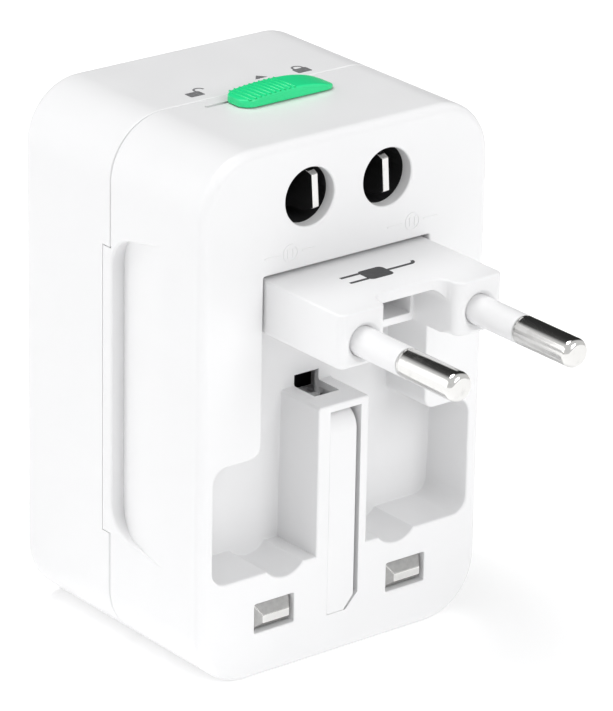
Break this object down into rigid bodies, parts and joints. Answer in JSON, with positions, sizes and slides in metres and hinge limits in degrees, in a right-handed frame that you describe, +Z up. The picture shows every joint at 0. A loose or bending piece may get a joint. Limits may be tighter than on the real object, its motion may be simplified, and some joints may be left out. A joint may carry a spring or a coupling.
{
  "type": "universal travel adapter",
  "caption": "Two-module universal travel adapter with a fold-out round-pin plug, sliding flat pins, a folding earth pin, turning blades and a lock slider.",
  "frame": {"origin": "middle of the plug module's bottom face, on the surface that the adapter stands on", "axes": "+X to the right as seen from the plug side, +Y rearwards from the plugs towards the socket, +Z up"},
  "size_m": [0.0472, 0.0734, 0.0756],
  "materials": {
    "white_abs": "fine moulded texture, satin",
    "green_abs": "satin, ribbed on top",
    "black_nylon": "matt",
    "nickel_plate": "polished nickel plating",
    "steel": "zinc plated",
    "brass": "stamped, bright"
  },
  "bodies": {
    "plug_module": {"plug_module_shell": "white_abs", "plug_module_cover": "white_abs", "blade_channel": "black_nylon", "blade_receiver_left": "brass", "blade_receiver_right": "brass", "bus_strip_left": "brass", "bus_strip_right": "brass", "contact_carrier": "black_nylon", "eu_hinge_stub_left": "steel", "eu_hinge_stub_right": "steel", "earth_hinge_pin": "steel", "plug_module_screw_1": "steel", "plug_module_screw_2": "steel", "plug_module_screw_3": "steel", "plug_module_screw_4": "steel"},
    "lock": {"lock_slider": "green_abs", "lock_latch": "black_nylon"},
    "eu_plug": {"eu_plug_block": "white_abs", "eu_pin_left": "nickel_plate", "eu_pin_right": "nickel_plate", "eu_sleeve_left": "white_abs", "eu_sleeve_right": "white_abs"},
    "uk_pins": {"uk_pin_carriage": "black_nylon", "uk_pin_left": "nickel_plate", "uk_pin_right": "nickel_plate"},
    "uk_earth": {"uk_earth_pin": "white_abs"},
    "socket_module": {"socket_module_shell": "white_abs", "socket_module_plate": "white_abs", "rotor_retainer": "black_nylon", "socket_contact_left": "brass", "socket_contact_right": "brass", "socket_module_screw_1": "steel", "socket_module_screw_2": "steel", "socket_module_screw_3": "steel", "socket_module_screw_4": "steel"},
    "us_blade_left": {"blade_rotor_left": "black_nylon", "us_blade_left": "nickel_plate"},
    "us_blade_right": {"blade_rotor_right": "black_nylon", "us_blade_right": "nickel_plate"}
  },
  "joints": [
    {"name": "eu_plug_fold", "type": "hinge", "parent": "plug_module", "child": "eu_plug", "pos_m": [0, -0.006, 0.0521], "axis": [1, 0, 0], "range_deg": [0, 90]},
    {"name": "uk_earth_fold", "type": "hinge", "parent": "plug_module", "child": "uk_earth", "pos_m": [0, -0.006, 0.0308], "axis": [1, 0, 0], "range_deg": [-90, 0]},
    {"name": "uk_pins_slide", "type": "slide", "parent": "plug_module", "child": "uk_pins", "axis": [0, -1, 0], "range_m": [0, 0.01775]},
    {"name": "lock_slide", "type": "slide", "parent": "plug_module", "child": "lock", "axis": [1, 0, 0], "range_m": [-0.0045, 0.0012]},
    {"name": "socket_module_pull", "type": "slide", "parent": "plug_module", "child": "socket_module", "axis": [0, 1, 0], "range_m": [0, 0.03]},
    {"name": "us_blade_left_turn", "type": "hinge", "parent": "socket_module", "child": "us_blade_left", "pos_m": [-0.00635, 0.0122, 0.0658], "axis": [0, 1, 0], "range_deg": [0, 33.8]},
    {"name": "us_blade_right_turn", "type": "hinge", "parent": "socket_module", "child": "us_blade_right", "pos_m": [0.00635, 0.0122, 0.0658], "axis": [0, 1, 0], "range_deg": [-26.2, 0]}
  ]
}
